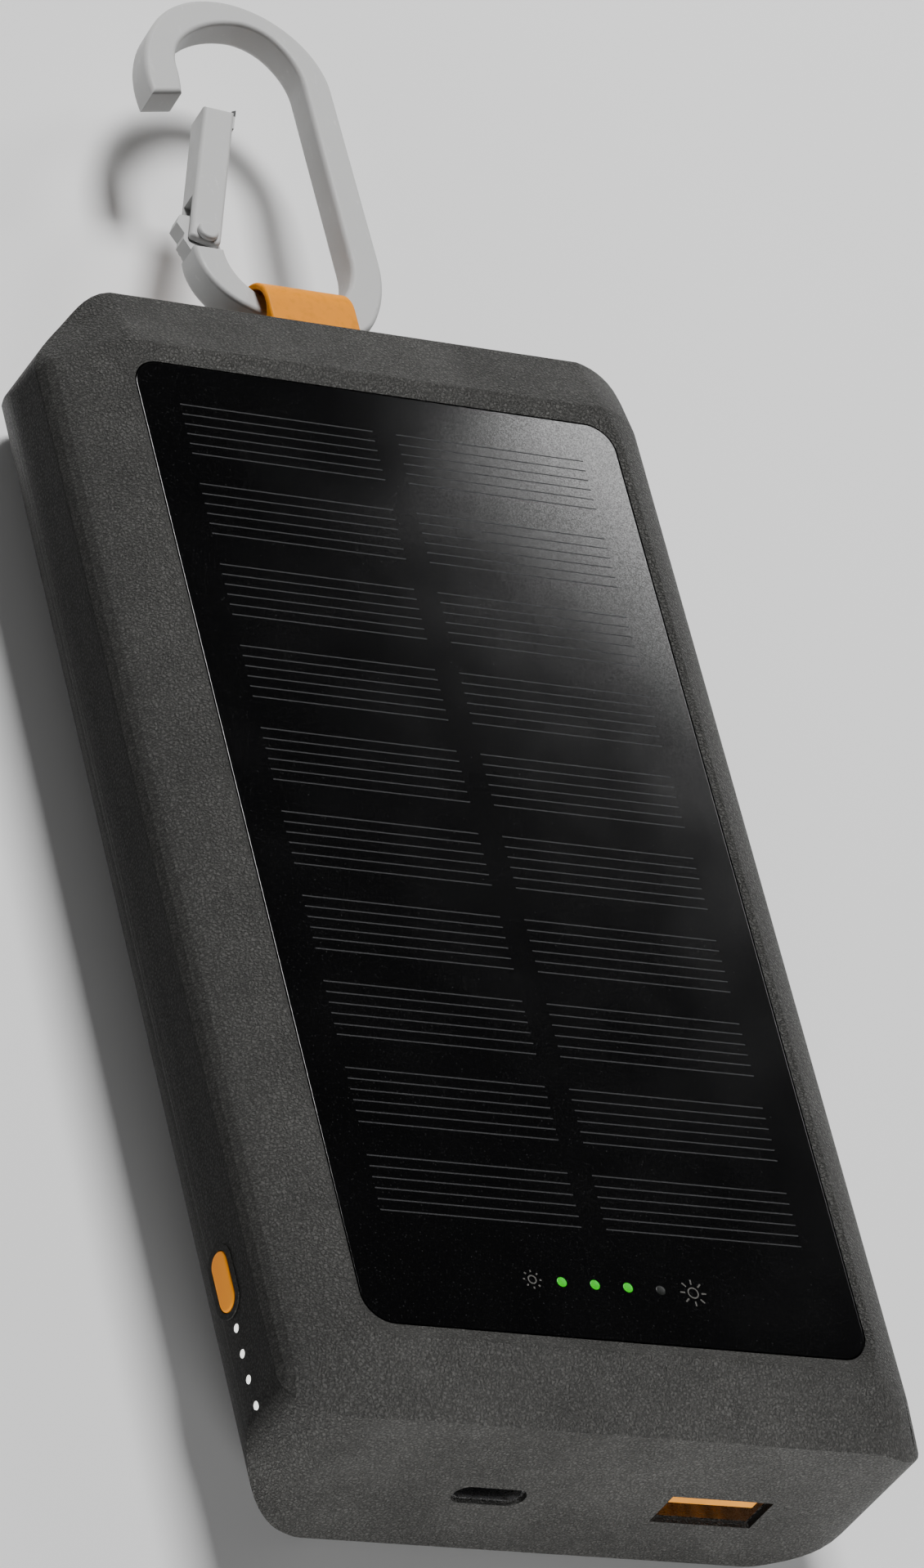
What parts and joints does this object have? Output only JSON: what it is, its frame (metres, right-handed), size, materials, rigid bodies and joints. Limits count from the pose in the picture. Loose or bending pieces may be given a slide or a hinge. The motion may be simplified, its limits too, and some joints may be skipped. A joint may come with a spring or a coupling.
{
  "type": "solar phone charger",
  "caption": "Rugged portable battery pack with a solar panel on its face, charging ports on one end, and a swinging gated hook on a strap at the other.",
  "frame": {"origin": "centre of the flat back face", "axes": "+Z out of the solar panel, +Y along the case towards the carabiner, +X across the case with the button on the -X side"},
  "size_m": [0.0797, 0.2039, 0.028],
  "materials": {
    "case_plastic": "dark grey moulded polymer with a fine leather-like grain",
    "panel_laminate": "glossy clear laminate over near-black",
    "silicon": "near-black silicon strips",
    "backing": "black glass-epoxy board",
    "tape": "black foam tape",
    "board": "green solder mask",
    "chips": "black moulded chips",
    "lamps": "pale lamp bodies",
    "clear_guides": "clear moulded light guides",
    "pouch": "silvery laminated pouch",
    "foam": "dark grey foam",
    "nickel": "plain nickel strip",
    "wire_jacket": "soft wire jacket",
    "ferrite": "dark grey moulded ferrite",
    "connector": "off-white nylon",
    "port_steel": "nickel-plated sheet steel",
    "orange_plastic": "orange moulded plastic",
    "black_tongue": "black moulded plastic",
    "screw_steel": "dark plated steel",
    "strap_rubber": "smooth orange rubber",
    "carabiner_grey": "satin grey coated alloy",
    "rivet_steel": "plain steel"
  },
  "bodies": {
    "case": {"front_shell": "case_plastic", "rear_shell": "case_plastic", "case_screws": "screw_steel", "panel_adhesive": "tape", "solar_backing": "backing", "solar_cells": "silicon", "solar_cover": "panel_laminate", "indicator_light_guides": "clear_guides", "indicator_board": "board", "indicator_leds": "lamps", "battery_cell_lower": "pouch", "battery_cell_upper": "pouch", "battery_pad_lower": "foam", "battery_pad_middle": "foam", "battery_pad_upper": "foam", "protection_board": "board", "battery_tabs": "nickel", "battery_leads": "wire_jacket", "panel_leads": "wire_jacket", "main_board": "board", "main_board_chips": "chips", "power_inductors": "ferrite", "battery_connector": "connector", "usb_a_shell": "port_steel", "usb_a_tongue": "orange_plastic", "usb_c_shell": "port_steel", "usb_c_tongue": "black_tongue", "side_switch": "black_tongue", "side_board": "board", "side_leds": "lamps", "side_light_pipes": "clear_guides", "strap_loop": "strap_rubber", "strap_pin": "rivet_steel"},
    "button": {"power_button": "orange_plastic", "switch_plunger": "black_tongue"},
    "carabiner": {"carabiner_body": "carabiner_grey", "gate_rivet": "rivet_steel"},
    "gate": {"carabiner_gate": "carabiner_grey", "gate_spring": "rivet_steel"}
  },
  "joints": [
    {"name": "button_press", "type": "slide", "parent": "case", "child": "button", "axis": [1, 0, 0], "range_m": [0, 0.0005], "stiffness_N_per_m": 2000},
    {"name": "carabiner_swing", "type": "hinge", "parent": "case", "child": "carabiner", "pos_m": [0, 0.0805, 0.016], "axis": [1, 0, 0], "range_deg": [-100, 118]},
    {"name": "gate_pivot", "type": "hinge", "parent": "carabiner", "child": "gate", "pos_m": [-0.0098, 0.09114, 0.01507], "axis": [0, 0.0872, 0.9962], "range_deg": [-30, 17], "stiffness_Nm_per_rad": 0.03, "springref_deg": 17}
  ]
}
